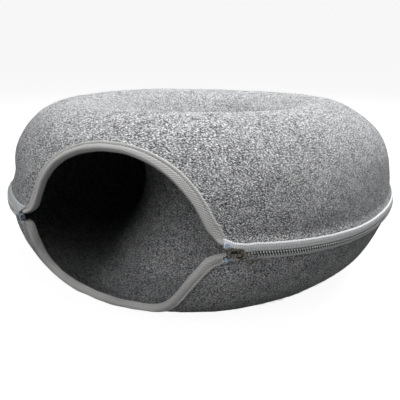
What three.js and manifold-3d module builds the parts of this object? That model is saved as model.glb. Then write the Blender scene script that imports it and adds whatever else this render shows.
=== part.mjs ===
// Felt donut cat bed: two moulded felt half rings, a zip round the rim and a bound entrance.
// Millimetres and degrees, +Z up. The origin is on the floor, under the middle of the outer box.
// The entrance faces -Y. Azimuths run from -Y towards +X about the ring's axis, heights are from
// the zip line.
import * as THREE from 'three';
import Module from 'manifold-3d';
import { mergeVertices } from 'three/addons/utils/BufferGeometryUtils.js';

const wasm = await Module();
wasm.setup();

// Driving dimensions of the felt ring
const rimRadius = 247.6;
const crestRadius = 166.5;
const holeRadius = 75;
const zipLine = 99;
const axisSetback = -8;
const feltThickness = 4;
const rimEdge = 5.5;
const butt = 0.15;

// Clearance between pieces that touch on the real bed
const seat = 0.3;

// Entrance binding: folded tape round the felt's cut edge
const bindingThickness = 1.2;
const bindingReach = 6.3;
const bindingSpread = { reach: 2.5, azimuth: 16, span: 9 };
const stitchGroove = { inset: 2.6, depth: 0.45, width: 1.0 };

// Zip round the rim
const ridge = 3;
const tapeThickness = 1.1;
const tapeMargin = { width: 1.6, rise: 0.4 };
const coilWidth = 2.6;
const coilDepth = 2.2;
const zipEnds = { slider: 22.7, coil: 25.3, box: 333.29 };
const tapesApart = { gap: 3.9, from: 22.1, to: 25.2 };
const overBinding = { lift: 1.5, fallFrom: 27, fallTo: 29, riseFrom: 328.8, riseTo: 331.6 };

const sliderSize = { azimuth: 24.8, length: 12.6, mouth: 9.2, tail: 7.2, plate: 1.8 };
const pullTab = { length: 17.5, width: 12, neck: 5, thickness: 1.2, droop: 25 };
const boxSize = { azimuth: -26.1, length: 4.6, height: 5.6, depth: 4.4 };
const filmThickness = 0.25;

const stations = { entrance: 39, crowding: 0.45, ring: 34 };

// Each half: crest height from the zip line, fullness of its section, how far its ridge reaches,
// the outline of its entrance edge and the margin of its zip tape
const upperHalf = {
  side: 1,
  bow: 103.7,
  fullness: 1.9,
  ridgeFade: 5.35,
  outline: [
    { azimuth: -27.8, height: 5.5 },
    { azimuth: -26.2, height: 5.5 },
    { azimuth: -24.4, height: 5.9 },
    { azimuth: -23.0, height: 9 },
    { azimuth: -22.1, height: 13.6 },
    { azimuth: -21.2, height: 22.2 },
    { azimuth: -20.3, height: 31.5 },
    { azimuth: -19.1, height: 47.5 },
    { azimuth: -16.3, height: 62.8 },
    { azimuth: -11.8, height: 73 },
    { azimuth: -6.5, height: 77.6 },
    { azimuth: -1.6, height: 78.3 },
    { azimuth: 3.1, height: 76.4 },
    { azimuth: 7.7, height: 71.3 },
    { azimuth: 12.1, height: 62.3 },
    { azimuth: 15.3, height: 51.6 },
    { azimuth: 17.8, height: 39.1 },
    { azimuth: 19.4, height: 27.2 },
    { azimuth: 20.7, height: 16.8 },
    { azimuth: 21.7, height: 9.2 },
    { azimuth: 22.8, height: 6 },
    { azimuth: 24.4, height: 5.5 },
  ],
  bindingFrom: -25.6,
  bindingTo: 23.3,
  margin: [
    { azimuth: 22.7, height: 11.4 },
    { azimuth: 24.9, height: 7.2 },
    { azimuth: 27, height: 6.5 },
    { azimuth: 305, height: 6.5 },
    { azimuth: 316, height: 12 },
    { azimuth: 322, height: 12.4 },
    { azimuth: 329, height: 11.4 },
    { azimuth: 335.7, height: 13.2 },
  ],
};
const lowerHalf = {
  side: -1,
  bow: 103.3,
  fullness: 1.8,
  ridgeFade: 5,
  outline: [
    { azimuth: -27.8, height: 5.5 },
    { azimuth: -26.2, height: 6.2 },
    { azimuth: -25.2, height: 10.2 },
    { azimuth: -24.4, height: 17 },
    { azimuth: -23.9, height: 27 },
    { azimuth: -23.1, height: 38 },
    { azimuth: -21.2, height: 50 },
    { azimuth: -16.4, height: 61.5 },
    { azimuth: -10.9, height: 68 },
    { azimuth: -6, height: 73 },
    { azimuth: -1.4, height: 79 },
    { azimuth: 3.3, height: 80.5 },
    { azimuth: 7.3, height: 75.5 },
    { azimuth: 10.6, height: 65 },
    { azimuth: 12.8, height: 53 },
    { azimuth: 14.5, height: 41 },
    { azimuth: 15.9, height: 31 },
    { azimuth: 17.3, height: 22 },
    { azimuth: 18.8, height: 14.5 },
    { azimuth: 20.3, height: 10.1 },
    { azimuth: 22.2, height: 7.2 },
    { azimuth: 24.4, height: 5.5 },
  ],
  bindingFrom: -26.6,
  bindingTo: 23.6,
  margin: [
    { azimuth: 22.7, height: 9.6 },
    { azimuth: 25, height: 8.6 },
    { azimuth: 27, height: 8.4 },
    { azimuth: 325, height: 8.4 },
    { azimuth: 334.5, height: 9 },
  ],
};

// Hand-made unevenness: soft swells of the felt and waves of the zip line along the rim
const rimFade = 5.5;
const waveFade = 10;
const zipWaves = [
  { azimuth: -22, span: 16, up: 5.4 },
  { azimuth: 22, span: 16, up: 5.4 },
  { azimuth: 57, span: 10, up: -1.5 },
];
const rimSwells = [
  { azimuth: -36, span: 14, out: -1.5 },
  { azimuth: 80, span: 24, out: -0.5 },
];
const halfSwells = [
  { side: 1, azimuth: -46, turn: 18, span: 16, rise: 12, out: -5 },
  { side: 1, azimuth: -46, turn: 32, span: 26, rise: 20, out: 0.8 },
  { side: 1, azimuth: -58, turn: 65, span: 34, rise: 22, out: 1.4 },
  { side: 1, azimuth: 80, turn: 16, span: 24, rise: 12, out: -1.7 },
  { side: 1, azimuth: 84, turn: 36, span: 26, rise: 20, out: 3.2 },
  { side: 1, azimuth: 95, turn: 65, span: 34, rise: 22, out: -1.9 },
  { side: 1, azimuth: 232, turn: 85, span: 45, rise: 30, out: 4 },
  { side: -1, azimuth: -42, turn: 26, span: 20, rise: 16, out: 1.7 },
  { side: -1, azimuth: -24, turn: 42, span: 18, rise: 20, out: 4.5 },
  { side: -1, azimuth: -6, turn: 50, span: 18, rise: 20, out: 3.8 },
  { side: -1, azimuth: 16, turn: 56, span: 22, rise: 22, out: 1.1 },
  { side: -1, azimuth: 70, turn: 26, span: 26, rise: 18, out: 1.4 },
];

const colours = {
  felt: 0x8e8f92,
  binding: 0xbdb9b5,
  tape: 0xb4bfc2,
  coil: 0xc6ced2,
  metal: 0x5d574c,
  box: 0x8d9aa8,
  film: 0x8fb0d2,
};

// Materials by name of finish
function finish(name, colour, roughness, metalness) {
  return new THREE.MeshStandardMaterial({ name, color: colour, roughness, metalness });
}

const radians = (degrees) => THREE.MathUtils.degToRad(degrees);
const bell = (distance, span) => Math.exp(-((distance / span) ** 2));
const plateau = (distance, span) => Math.exp(-((distance / span) ** 4));
const easing = (value, from, to) => THREE.MathUtils.smoothstep(value, from, to);

function around(azimuth) {
  return THREE.MathUtils.euclideanModulo(azimuth + 180, 360) - 180;
}

// Tube section of a half: turn 0 at the rim, 90 at the crest, 180 at the hole
function section(half, turn) {
  const across = Math.cos(radians(turn));
  const up = Math.sin(radians(turn));
  const reach = across > 0 ? rimRadius - crestRadius : crestRadius - holeRadius;
  const power = 2 / half.fullness;
  const rho = crestRadius + reach * Math.sign(across) * Math.abs(across) ** power;
  const height = half.bow * Math.abs(up) ** power;
  const normal = new THREE.Vector2(
    Math.sign(across) * Math.abs(across) ** (2 - power) / reach,
    Math.abs(up) ** (2 - power) / half.bow,
  ).normalize();
  return { rho, height, normal };
}

function turnAt(half, height) {
  return THREE.MathUtils.radToDeg(Math.asin((height / half.bow) ** (half.fullness / 2)));
}

function rimSwell(azimuth) {
  return rimSwells.reduce(
    (sum, swell) => sum + swell.out * bell(around(azimuth - swell.azimuth), swell.span),
    0,
  );
}

function zipWave(azimuth) {
  return zipWaves.reduce(
    (sum, wave) => sum + wave.up * bell(around(azimuth - wave.azimuth), wave.span),
    0,
  );
}

function halfSwell(half, azimuth, turn) {
  const swelled = halfSwells
    .filter((swell) => swell.side === half.side)
    .reduce(
      (sum, swell) => sum + swell.out
        * bell(around(azimuth - swell.azimuth), swell.span)
        * bell(turn - swell.turn, swell.rise),
      0,
    );
  return swelled * (1 - bell(turn, rimFade));
}

// Point on a half's felt, offset outwards, the base flattened on the floor
function feltPoint(half, azimuth, turn, offset) {
  const { rho, height, normal } = section(half, turn);
  const rim = ridge * plateau(turn, half.ridgeFade) + rimSwell(azimuth) * bell(turn, rimFade);
  const out = offset + rim + halfSwell(half, azimuth, turn);
  const radius = rho + normal.x * out;
  const level = half.side * (height + normal.y * out)
    + zipWave(azimuth) * plateau(turn, waveFade);
  const floor = -zipLine - Math.min(offset, 0);
  const z = half.side < 0 ? Math.max(level, floor) : level;
  return new THREE.Vector3(
    radius * Math.sin(radians(azimuth)),
    -radius * Math.cos(radians(azimuth)),
    z + zipLine,
  );
}

// Steps along a half's entrance outline, from its left corner to its right one, closer at both
function entranceSteps(half) {
  const perDegree = rimRadius * radians(1);
  const points = half.outline.map((row) => new THREE.Vector2(row.azimuth * perDegree, row.height));
  const curve = new THREE.SplineCurve(points);
  return Array.from({ length: stations.entrance + 1 }, (_, i) => {
    const part = i / stations.entrance;
    const crowd = stations.crowding * Math.sin(2 * Math.PI * part) / (2 * Math.PI);
    const point = curve.getPointAt(part - crowd);
    return { azimuth: point.x / perDegree, height: point.y };
  });
}

// Azimuths round the back of the rim, from the slider's corner to the box's
function ringAzimuths() {
  const from = upperHalf.outline.at(-1).azimuth;
  const to = 360 + upperHalf.outline[0].azimuth;
  return Array.from(
    { length: stations.ring - 1 },
    (_, i) => THREE.MathUtils.lerp(from, to, (i + 1) / stations.ring),
  );
}

// Triangles of a sweep through equal sections, closed on itself or capped at both ends
function sweep(sections, closed) {
  const count = sections[0].length;
  const positions = sections.flatMap((points) => points.flatMap((point) => point.toArray()));
  const indices = [];
  const last = closed ? sections.length : sections.length - 1;
  for (let i = 0; i < last; i += 1) {
    const here = i * count;
    const next = ((i + 1) % sections.length) * count;
    for (let j = 0; j < count; j += 1) {
      const k = (j + 1) % count;
      indices.push(here + j, here + k, next + k, here + j, next + k, next + j);
    }
  }
  return { positions, indices };
}

function cap(outline, start, flip) {
  const faces = THREE.ShapeUtils.triangulateShape(outline, []);
  return faces.flatMap(([a, b, c]) => (flip ? [start + a, start + c, start + b]
    : [start + a, start + b, start + c]));
}

function signedVolume(positions, indices) {
  const at = (i) => new THREE.Vector3().fromArray(positions, 3 * i);
  let volume = 0;
  for (let i = 0; i < indices.length; i += 3) {
    volume += at(indices[i]).dot(at(indices[i + 1]).cross(at(indices[i + 2])));
  }
  return volume;
}

// A closed body whose faces point out
function body(positions, indices) {
  const outward = signedVolume(positions, indices) > 0;
  const geometry = new THREE.BufferGeometry();
  geometry.setAttribute('position', new THREE.Float32BufferAttribute(positions, 3));
  geometry.setIndex(outward ? indices : [...indices].reverse());
  geometry.computeVertexNormals();
  return geometry;
}

function closedRing(sections) {
  const { positions, indices } = sweep(sections, true);
  return body(positions, indices);
}

function cappedStrip(sections, outline) {
  const { positions, indices } = sweep(sections, false);
  const turnsLeft = THREE.ShapeUtils.area(outline) > 0;
  const lastStart = (sections.length - 1) * sections[0].length;
  indices.push(...cap(outline, 0, turnsLeft), ...cap(outline, lastStart, !turnsLeft));
  return body(positions, indices);
}

// Felt half ring: one closed section a station, outside and inside rows joined at both edges
function shellSection(half, azimuth, startHeight) {
  const start = turnAt(half, startHeight);
  const flat = 74.5;
  const finishTurn = 180 - turnAt(half, butt);
  const wallRows = [0, 0.025, 0.05, 0.075, 0.105, 0.15, 0.26, 0.44, 0.64, 0.82, 1];
  const crownRows = [0.15, 0.3, 0.45, 0.6, 0.75, 0.89, 1];
  const turns = [
    ...wallRows.map((part) => THREE.MathUtils.lerp(start, flat, part)),
    ...crownRows.map((part) => THREE.MathUtils.lerp(flat, finishTurn, part)),
  ];
  return [
    ...turns.map((turn) => feltPoint(half, azimuth, turn, 0)),
    ...turns.reverse().map((turn) => feltPoint(half, azimuth, turn, -feltThickness)),
  ];
}

function feltHalf(half) {
  const entrance = entranceSteps(half).map((step) => shellSection(half, step.azimuth, step.height));
  const ring = ringAzimuths().map((azimuth) => shellSection(half, azimuth, rimEdge));
  return closedRing([...entrance, ...ring]);
}

// Folded binding section: distance into the felt from its cut edge, and height out of its face
function bindingSection(reach) {
  const face = seat + 0.05;
  const back = -feltThickness - seat - 0.15;
  const top = face + bindingThickness;
  const bottom = back - bindingThickness;
  const middle = -feltThickness / 2;
  const roll = -seat - bindingThickness;
  const groove = reach - stitchGroove.inset;
  return [
    { into: reach, out: face },
    { into: reach * 0.7, out: face },
    { into: reach * 0.35, out: face },
    { into: -seat, out: face },
    { into: -seat, out: back },
    { into: reach * 0.35, out: back },
    { into: reach * 0.7, out: back },
    { into: reach, out: back },
    { into: reach, out: bottom + 0.5 },
    { into: reach - 0.6, out: bottom },
    { into: 0.5, out: bottom },
    { into: roll * 0.55, out: bottom + 0.6 },
    { into: roll, out: middle - 1.5 },
    { into: roll, out: middle + 1.5 },
    { into: roll * 0.55, out: top - 0.6 },
    { into: 0.5, out: top },
    { into: groove - stitchGroove.width, out: top },
    { into: groove, out: top - stitchGroove.depth },
    { into: groove + stitchGroove.width, out: top },
    { into: reach - 0.4, out: top - 0.1 },
    { into: reach, out: top - 0.6 },
  ];
}

// Moves from a point of the entrance edge into the felt, along its surface
function edgeFrames(half) {
  const steps = entranceSteps(half).map((step) => ({ ...step, turn: turnAt(half, step.height) }));
  const small = 0.05;
  return steps.map((step, i) => {
    const before = steps[Math.max(i - 1, 0)];
    const after = steps[Math.min(i + 1, steps.length - 1)];
    const at = (azimuth, turn) => feltPoint(half, azimuth, turn, 0);
    const along = at(after.azimuth, after.turn).sub(at(before.azimuth, before.turn)).normalize();
    const perAzimuth = at(step.azimuth + small, step.turn)
      .sub(at(step.azimuth - small, step.turn))
      .divideScalar(2 * small);
    const perTurn = at(step.azimuth, step.turn + small)
      .sub(at(step.azimuth, step.turn - small))
      .divideScalar(2 * small);
    const normal = perAzimuth.clone().cross(perTurn).normalize();
    const inward = normal.clone().cross(along);
    inward.multiplyScalar(Math.sign(inward.dot(perTurn)));
    const skew = perAzimuth.dot(perTurn);
    const a = perAzimuth.lengthSq();
    const b = perTurn.lengthSq();
    const share = a * b - skew * skew;
    const onAzimuth = inward.dot(perAzimuth);
    const onTurn = inward.dot(perTurn);
    return {
      azimuth: step.azimuth,
      turn: step.turn,
      azimuthPerMm: (onAzimuth * b - onTurn * skew) / share,
      turnPerMm: (onTurn * a - onAzimuth * skew) / share,
    };
  });
}

function bindingReachAt(half, azimuth) {
  const widening = half.side > 0 ? bell(azimuth - bindingSpread.azimuth, bindingSpread.span) : 0;
  return bindingReach + bindingSpread.reach * widening;
}

function binding(half) {
  const frames = edgeFrames(half)
    .filter((frame) => frame.azimuth >= half.bindingFrom && frame.azimuth <= half.bindingTo);
  const sections = frames.map((frame) => bindingSection(bindingReachAt(half, frame.azimuth))
    .map(({ into, out }) => feltPoint(
      half,
      frame.azimuth + frame.azimuthPerMm * into,
      frame.turn + frame.turnPerMm * into,
      out,
    )));
  const outline = bindingSection(bindingReach)
    .map(({ into, out }) => new THREE.Vector2(into, out));
  return cappedStrip(sections, outline);
}

// How far the zip stands off the felt: over the binding's ends at both corners
function zipLift(azimuth) {
  const atSlider = 1 - easing(azimuth, overBinding.fallFrom, overBinding.fallTo);
  const atBox = easing(azimuth, overBinding.riseFrom, overBinding.riseTo);
  return overBinding.lift * Math.max(atSlider, atBox);
}

// Azimuths along the closed zip, with steps where it comes off and onto the bindings
function zipAzimuths() {
  const { fallFrom, fallTo, riseFrom, riseTo } = overBinding;
  const fall = [fallFrom, (fallFrom + fallTo) / 2, fallTo];
  const rise = [riseFrom, (riseFrom + riseTo) / 2, riseTo];
  return [...fall, ...ringAzimuths(), ...rise, zipEnds.box];
}

function marginAt(half, azimuth) {
  const i = half.margin.findIndex((row) => row.azimuth >= azimuth);
  const after = half.margin[Math.max(i, 1)];
  const before = half.margin[Math.max(i, 1) - 1];
  const part = (azimuth - before.azimuth) / (after.azimuth - before.azimuth);
  return THREE.MathUtils.lerp(before.height, after.height, part);
}

// Heights of a tape's teeth side and margin, drawn apart at the slider, cut on the slant at the box
function tapeHeights(half, azimuth) {
  const margin = marginAt(half, azimuth);
  if (azimuth <= zipEnds.box) {
    const apart = 1 - easing(azimuth, tapesApart.from, tapesApart.to);
    return { near: butt + tapesApart.gap * apart, margin };
  }
  const tail = half.margin.at(-1);
  const part = (azimuth - zipEnds.box) / (tail.azimuth - zipEnds.box);
  const clearOfBox = boxSize.height / 2 + 2 * seat;
  return { near: THREE.MathUtils.lerp(clearOfBox, tail.height - 2.4, part), margin };
}

function tapeSection(near, margin) {
  const back = seat;
  const face = seat + tapeThickness;
  const cord = margin - tapeMargin.width;
  return [
    { height: near, out: back },
    { height: THREE.MathUtils.lerp(near, margin, 0.3), out: back },
    { height: THREE.MathUtils.lerp(near, margin, 0.55), out: back },
    { height: THREE.MathUtils.lerp(near, margin, 0.8), out: back + 0.15 },
    { height: margin, out: back + 0.15 },
    { height: margin, out: face },
    { height: margin - tapeMargin.width / 2, out: face + tapeMargin.rise },
    { height: cord, out: face - 0.2 },
    { height: THREE.MathUtils.lerp(near, cord, 0.35), out: face },
    { height: near, out: face + 0.1 },
  ];
}

function zipTape(half) {
  const tail = half.margin.at(-1).azimuth;
  const azimuths = [
    zipEnds.slider,
    THREE.MathUtils.lerp(zipEnds.slider, half.outline.at(-1).azimuth, 0.4),
    half.outline.at(-1).azimuth,
    tapesApart.to,
    ...zipAzimuths(),
    ...[0.04, 0.35, 0.7, 1].map((part) => THREE.MathUtils.lerp(zipEnds.box, tail, part)),
  ];
  const sections = azimuths.map((azimuth) => {
    const { near, margin } = tapeHeights(half, azimuth);
    const lift = zipLift(azimuth);
    return tapeSection(near, margin).map(({ height, out }) => feltPoint(
      half,
      azimuth,
      turnAt(half, height),
      out + lift,
    ));
  });
  const outline = tapeSection(butt, lowerHalf.margin.at(-1).height)
    .map(({ height, out }) => new THREE.Vector2(height, out));
  return cappedStrip(sections, outline);
}

// Coil row under a tape's teeth side, from inside the slider to the box
function zipCoil(half) {
  const azimuths = [zipEnds.coil, ...zipAzimuths()];
  const near = butt;
  const rows = [
    { height: near, out: -0.5 },
    { height: near + 0.6, out: 0 },
    { height: near + coilWidth, out: 0 },
    { height: near + coilWidth, out: -coilDepth },
    { height: near + 0.6, out: -coilDepth },
    { height: near, out: 0.5 - coilDepth },
  ];
  const sections = azimuths.map((azimuth) => rows.map(({ height, out }) => feltPoint(
    half,
    azimuth,
    turnAt(half, height),
    out + zipLift(azimuth),
  )));
  return cappedStrip(sections, rows.map(({ height, out }) => new THREE.Vector2(height, out)));
}

// Joins and cuts
function toSolid(geometry) {
  const bare = geometry.clone();
  bare.deleteAttribute('normal');
  bare.deleteAttribute('uv');
  const merged = mergeVertices(bare, 1e-4);
  const mesh = new wasm.Mesh({
    numProp: 3,
    vertProperties: Float32Array.from(merged.attributes.position.array),
    triVerts: Uint32Array.from(merged.index.array),
  });
  return new wasm.Manifold(mesh);
}

function fromSolid(solid) {
  const mesh = solid.getMesh();
  const geometry = new THREE.BufferGeometry();
  geometry.setAttribute('position', new THREE.Float32BufferAttribute(mesh.vertProperties, 3));
  geometry.setIndex([...mesh.triVerts]);
  geometry.computeVertexNormals();
  return geometry;
}

function extruded(shape, from, to, steps = 6) {
  const geometry = new THREE.ExtrudeGeometry(shape, {
    depth: to - from,
    bevelEnabled: false,
    curveSegments: steps,
  });
  return toSolid(geometry.translate(0, 0, from));
}

function box(x0, x1, y0, y1, z0, z1) {
  const geometry = new THREE.BoxGeometry(x1 - x0, y1 - y0, z1 - z0);
  return toSolid(geometry.translate((x0 + x1) / 2, (y0 + y1) / 2, (z0 + z1) / 2));
}

function plateShape(length, mouth, tail, corner) {
  const shape = new THREE.Shape();
  const x0 = -length / 2;
  const x1 = length / 2;
  shape.moveTo(x0 + corner, -mouth / 2);
  shape.quadraticCurveTo(x0, -mouth / 2, x0, -mouth / 2 + corner);
  shape.lineTo(x0, mouth / 2 - corner);
  shape.quadraticCurveTo(x0, mouth / 2, x0 + corner, mouth / 2);
  shape.lineTo(x1 - corner, tail / 2);
  shape.quadraticCurveTo(x1, tail / 2, x1, tail / 2 - corner);
  shape.lineTo(x1, corner - tail / 2);
  shape.quadraticCurveTo(x1, -tail / 2, x1 - corner, -tail / 2);
  shape.closePath();
  return shape;
}

// Levels out of the felt's face where the slider sits
const tapeFace = seat + tapeThickness + overBinding.lift + 0.1;
const plateBottom = tapeFace + seat;
const plateTop = plateBottom + sliderSize.plate;
const coilBack = overBinding.lift - coilDepth - 0.35;

// Slider: face plate and crown outside, back plate and rails inside, joined by a wedge
function slider() {
  const { length, mouth, tail } = sliderSize;
  const face = extruded(plateShape(length, mouth, tail, 1.6), plateBottom, plateTop, 4);
  const backBottom = coilBack - seat - 1.4;
  const back = extruded(plateShape(length, 7.6, 7.6, 1.2), backBottom, coilBack - seat, 4);
  const rail = butt + coilWidth + seat + 0.3;
  const rails = [1, -1].map((side) => box(
    -1,
    length / 2 - 0.8,
    Math.min(side * rail, side * (rail + 0.7)),
    Math.max(side * rail, side * (rail + 0.7)),
    coilBack - seat - 0.4,
    overBinding.lift - 1,
  ));
  const wedge = new THREE.Shape([
    new THREE.Vector2(-length / 2 + 0.4, -1.5),
    new THREE.Vector2(-2.9, -0.5),
    new THREE.Vector2(-2.9, 0.5),
    new THREE.Vector2(-length / 2 + 0.4, 1.5),
  ]);
  const post = extruded(wedge, backBottom + 0.4, plateBottom + 0.4);
  const crown = new THREE.Shape();
  crown.moveTo(-4.6, 0);
  crown.quadraticCurveTo(-4.4, 3.2, -1.6, 3.2);
  crown.lineTo(1.8, 3.2);
  crown.quadraticCurveTo(4.2, 3.2, 4.4, 0);
  crown.lineTo(3.1, 0);
  crown.quadraticCurveTo(3, 1.9, 1.4, 1.9);
  crown.lineTo(-1.2, 1.9);
  crown.quadraticCurveTo(-3, 1.9, -3.2, 0);
  crown.closePath();
  const arch = new THREE.ExtrudeGeometry(crown, { depth: 1.8, bevelEnabled: false, curveSegments: 5 });
  arch.translate(0, 0, -0.9).rotateX(Math.PI / 2).translate(0, 0, plateTop - 0.05);
  return fromSolid([back, ...rails, post, toSolid(arch)].reduce((sum, part) => sum.add(part), face));
}

// Pull tab: an eye round the crown's foot, a neck and a wide pierced end
function tab() {
  const { length, width, neck, thickness } = pullTab;
  const eye = 3.7;
  const shape = new THREE.Shape();
  shape.moveTo(0, eye);
  shape.quadraticCurveTo(-1.2, eye, -1.2, eye - 1.2);
  shape.lineTo(-1.2, 1.2 - eye);
  shape.quadraticCurveTo(-1.2, -eye, 0, -eye);
  shape.lineTo(4.2, -eye);
  shape.quadraticCurveTo(6.4, -neck / 2, 8, -neck / 2 - 0.6);
  shape.lineTo(length - 4.5, -width / 2);
  shape.quadraticCurveTo(length - 1.2, -width / 2, length - 1.2, 0);
  shape.quadraticCurveTo(length - 1.2, width / 2, length - 4.5, width / 2);
  shape.lineTo(8, neck / 2 + 0.6);
  shape.quadraticCurveTo(6.4, neck / 2, 4.2, eye);
  shape.closePath();
  const slot = new THREE.Path();
  slot.moveTo(0, 2.6);
  slot.lineTo(3.6, 2.6);
  slot.quadraticCurveTo(5, 1.6, 5, 0);
  slot.quadraticCurveTo(5, -1.6, 3.6, -2.6);
  slot.lineTo(0, -2.6);
  slot.closePath();
  const window = new THREE.Path();
  window.moveTo(8.6, 1.3);
  window.lineTo(length - 4.8, 3.9);
  window.quadraticCurveTo(length - 2.6, 3.9, length - 2.6, 0);
  window.quadraticCurveTo(length - 2.6, -3.9, length - 4.8, -3.9);
  window.lineTo(8.6, -1.3);
  window.closePath();
  shape.holes.push(slot, window);
  return new THREE.ExtrudeGeometry(shape, {
    depth: thickness,
    bevelEnabled: false,
    curveSegments: 5,
  });
}

function retainerBox() {
  const { length, height, depth } = boxSize;
  const shape = plateShape(length, height, height, 0.8);
  const inner = overBinding.lift - coilDepth;
  const solid = extruded(shape, inner, inner + depth, 3);
  const socket = box(length / 2 - 1.6, length, -1.1, 1.1, inner + 1.1, inner + depth - 1);
  return fromSolid(solid.subtract(socket));
}

function film(height0, height1) {
  const shape = new THREE.Shape([
    new THREE.Vector2(-1.6, height0),
    new THREE.Vector2(0.4, height0),
    new THREE.Vector2(1.8, height1),
    new THREE.Vector2(-0.6, height1),
  ]);
  const geometry = new THREE.ExtrudeGeometry(shape, { depth: filmThickness, bevelEnabled: false });
  return geometry.translate(0, 0, tapeFace + seat);
}

// A group on the rim: x along the zip, y up, z out of the felt's face
function onRim(azimuth) {
  const radius = rimRadius + ridge + rimSwell(azimuth);
  const place = new THREE.Group();
  place.position.set(
    radius * Math.sin(radians(azimuth)),
    -radius * Math.cos(radians(azimuth)),
    zipLine + zipWave(azimuth),
  );
  place.rotation.set(Math.PI / 2, radians(azimuth), 0, 'ZXY');
  return place;
}

function named(name, geometry, material) {
  const mesh = new THREE.Mesh(geometry, material);
  mesh.name = name;
  return mesh;
}

const felt = finish('grey felt', colours.felt, 0.97, 0);
const twill = finish('twill binding', colours.binding, 0.9, 0);
const ribbon = finish('zip tape', colours.tape, 0.85, 0);
const nylon = finish('nylon coil', colours.coil, 0.6, 0);
const metal = finish('dark plated metal', colours.metal, 0.4, 1);
const plastic = finish('blue-grey plastic', colours.box, 0.5, 0);
const clearFilm = finish('light blue film', colours.film, 0.4, 0);

const bed = new THREE.Group();
bed.add(
  named('upper_shell', feltHalf(upperHalf), felt),
  named('lower_shell', feltHalf(lowerHalf), felt),
  named('upper_binding', binding(upperHalf), twill),
  named('lower_binding', binding(lowerHalf), twill),
  named('upper_zip_tape', zipTape(upperHalf), ribbon),
  named('lower_zip_tape', zipTape(lowerHalf), ribbon),
  named('upper_zip_coil', zipCoil(upperHalf), nylon),
  named('lower_zip_coil', zipCoil(lowerHalf), nylon),
);

const sliderPlace = onRim(sliderSize.azimuth);
const tabPlace = new THREE.Group();
tabPlace.position.set(1.2, 0, plateTop + seat);
tabPlace.rotation.z = radians(-pullTab.droop);
tabPlace.add(named('pull_tab', tab(), metal));
sliderPlace.add(named('zip_slider', slider(), metal), tabPlace);

const boxPlace = onRim(boxSize.azimuth);
boxPlace.add(named('zip_box', retainerBox(), plastic));

const filmPlace = onRim(zipEnds.slider + 0.5);
filmPlace.add(
  named('upper_tape_film', film(4.4, 8.2), clearFilm),
  named('lower_tape_film', film(-4.4, -8.6), clearFilm),
);
bed.add(sliderPlace, boxPlace, filmPlace);
bed.position.y = axisSetback;

export default bed;
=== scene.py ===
import math

import bpy
import numpy as np
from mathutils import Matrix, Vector


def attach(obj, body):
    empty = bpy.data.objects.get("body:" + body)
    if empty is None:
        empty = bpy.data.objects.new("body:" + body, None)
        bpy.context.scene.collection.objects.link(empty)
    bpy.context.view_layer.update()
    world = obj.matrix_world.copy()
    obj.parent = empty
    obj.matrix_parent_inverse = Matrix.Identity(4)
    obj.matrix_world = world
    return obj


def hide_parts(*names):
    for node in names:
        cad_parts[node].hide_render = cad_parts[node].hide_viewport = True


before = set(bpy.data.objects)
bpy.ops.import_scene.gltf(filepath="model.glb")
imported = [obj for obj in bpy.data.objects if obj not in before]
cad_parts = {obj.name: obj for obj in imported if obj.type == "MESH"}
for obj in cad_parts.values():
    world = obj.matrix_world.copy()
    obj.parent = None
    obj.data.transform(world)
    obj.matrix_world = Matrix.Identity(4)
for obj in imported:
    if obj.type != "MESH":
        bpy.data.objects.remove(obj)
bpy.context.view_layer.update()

scene = bpy.context.scene
print("felt bed: frame loaded")

# The ring's form, in millimetres and degrees, as in the CAD
ring = {
    "rimRadius": 247.6,
    "crestRadius": 166.5,
    "holeRadius": 75.0,
    "zipLine": 99.0,
    "setback": -8.0,
    "thickness": 4.0,
    "rimEdge": 5.5,
    "butt": 0.15,
    "ridge": 3.0,
    "rimFade": 5.5,
    "waveFade": 10.0,
    "flatTurn": 74.5,
}
seat = 0.3                                  # air between pieces that touch
perDegree = ring["rimRadius"] * math.pi / 180

zipWaves = [(-22, 16, 5.4), (22, 16, 5.4), (57, 10, -1.5)]      # azimuth, span, up
rimSwells = [(-36, 14, -1.5), (80, 24, -0.5)]                   # azimuth, span, out

# Each half: outline of its entrance edge, margin of its zip tape, and the felt's
# swells as azimuth, turn, span, rise, out
upperHalf = {
    "side": 1,
    "bow": 103.7,
    "fullness": 1.9,
    "ridgeFade": 5.35,
    "outline": [
        (-27.8, 5.5), (-26.2, 5.5), (-24.4, 5.9), (-23.0, 9), (-22.1, 13.6), (-21.2, 22.2),
        (-20.3, 31.5), (-19.1, 47.5), (-16.3, 62.8), (-11.8, 73), (-6.5, 77.6), (-1.6, 78.3),
        (3.1, 76.4), (7.7, 71.3), (12.1, 62.3), (15.3, 51.6), (17.8, 39.1), (19.4, 27.2),
        (20.7, 16.8), (21.7, 9.2), (22.8, 6), (24.4, 5.5),
    ],
    "bindingFrom": -25.6,
    "bindingTo": 23.3,
    "margin": [
        (22.7, 11.4), (24.9, 7.2), (27, 6.5), (305, 6.5), (316, 12), (322, 12.4), (329, 11.4),
        (335.7, 13.2),
    ],
    "swells": [
        (-46, 18, 16, 12, -5), (-46, 32, 26, 20, 0.8), (-58, 65, 34, 22, 1.4),
        (80, 16, 24, 12, -1.7), (84, 36, 26, 20, 3.2), (95, 65, 34, 22, -1.9),
        (232, 85, 45, 30, 4),
    ],
}
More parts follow.
